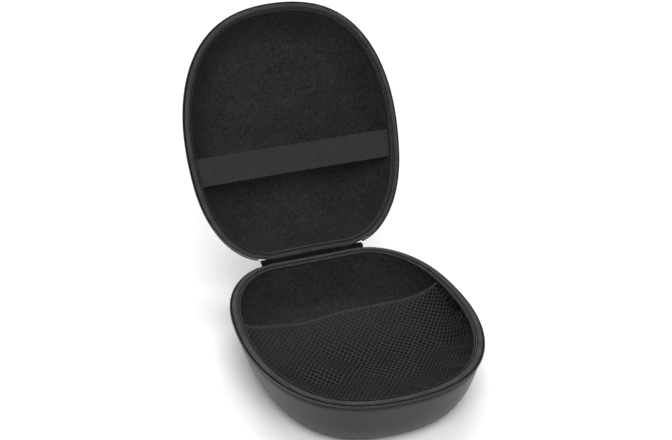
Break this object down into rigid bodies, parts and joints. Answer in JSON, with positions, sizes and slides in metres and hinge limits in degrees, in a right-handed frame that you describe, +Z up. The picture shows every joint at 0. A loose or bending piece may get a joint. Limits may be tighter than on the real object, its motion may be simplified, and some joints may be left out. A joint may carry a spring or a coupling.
{
  "type": "headphone carrying case",
  "caption": "Soft moulded clamshell case with a zipped rim, opened on its hinge, with a net pocket in the base and an elastic band across the lid.",
  "frame": {"origin": "centre of the flat bottom of the base, which is what the case rests on", "axes": "+Z up out of the base, +Y from the front of the base to the hinge, +X along the hinge to the right of somebody who faces the open case"},
  "size_m": [0.1958, 0.3463, 0.2539],
  "materials": {
    "cover": "satin polyurethane cloth with a fine grain",
    "core": "moulded closed-cell foam",
    "lining": "brushed jersey",
    "binding": "grosgrain tape",
    "zipper_tape": "woven tape",
    "zipper_coil": "nylon coil",
    "net": "knitted polyester net",
    "elastic": "woven elastic",
    "hinge_cloth": "woven cloth",
    "zipper_metal": "black enamel"
  },
  "bodies": {
    "base": {"base_cover": "cover", "base_core": "core", "base_lining": "lining", "base_binding": "binding", "base_zipper_tape": "zipper_tape", "base_zipper_coil": "zipper_coil", "mesh_pocket": "net", "mesh_pocket_hem": "binding", "hinge_strip_inner": "hinge_cloth", "hinge_strip_outer": "cover"},
    "lid": {"lid_cover": "cover", "lid_core": "core", "lid_lining": "lining", "lid_binding": "binding", "lid_zipper_tape": "zipper_tape", "lid_zipper_coil": "zipper_coil", "elastic_band": "elastic"},
    "zipper_end_right": {"zipper_end_right": "zipper_coil", "zipper_stop_right": "zipper_metal"},
    "slider_right": {"slider_right": "zipper_metal"},
    "pull_right": {"pull_right": "zipper_metal"},
    "zipper_end_left": {"zipper_end_left": "zipper_coil", "zipper_stop_left": "zipper_metal"},
    "slider_left": {"slider_left": "zipper_metal"},
    "pull_left": {"pull_left": "zipper_metal"}
  },
  "joints": [
    {"name": "lid_hinge", "type": "hinge", "parent": "base", "child": "lid", "pos_m": [0, 0.1115, 0.052], "axis": [-1, 0, 0], "range_deg": [-115, 0], "deforming": ["hinge_strip_inner", "hinge_strip_outer"]},
    {"name": "zipper_end_right_fold", "type": "hinge", "parent": "base", "child": "zipper_end_right", "pos_m": [0, 0.1115, 0.052], "axis": [-1, 0, 0], "range_deg": [-57.5, 0]},
    {"name": "slider_right_slide", "type": "slide", "parent": "zipper_end_right", "child": "slider_right", "axis": [1, 0, 0], "range_m": [0, 0.009]},
    {"name": "pull_right_swing", "type": "hinge", "parent": "slider_right", "child": "pull_right", "pos_m": [0.034, 0.11365, 0.04863], "axis": [0, 0.8434, 0.5373], "range_deg": [-88, 88]},
    {"name": "zipper_end_left_fold", "type": "hinge", "parent": "base", "child": "zipper_end_left", "pos_m": [0, 0.1115, 0.052], "axis": [-1, 0, 0], "range_deg": [-57.5, 0]},
    {"name": "slider_left_slide", "type": "slide", "parent": "zipper_end_left", "child": "slider_left", "axis": [-1, 0, 0], "range_m": [0, 0.009]},
    {"name": "pull_left_swing", "type": "hinge", "parent": "slider_left", "child": "pull_left", "pos_m": [-0.034, 0.11365, 0.04863], "axis": [0, 0.8434, 0.5373], "range_deg": [-88, 88]}
  ],
  "couplings": [
    {"joint": "zipper_end_right_fold", "follows": "lid_hinge", "ratio": 0.5},
    {"joint": "zipper_end_left_fold", "follows": "lid_hinge", "ratio": 0.5}
  ]
}
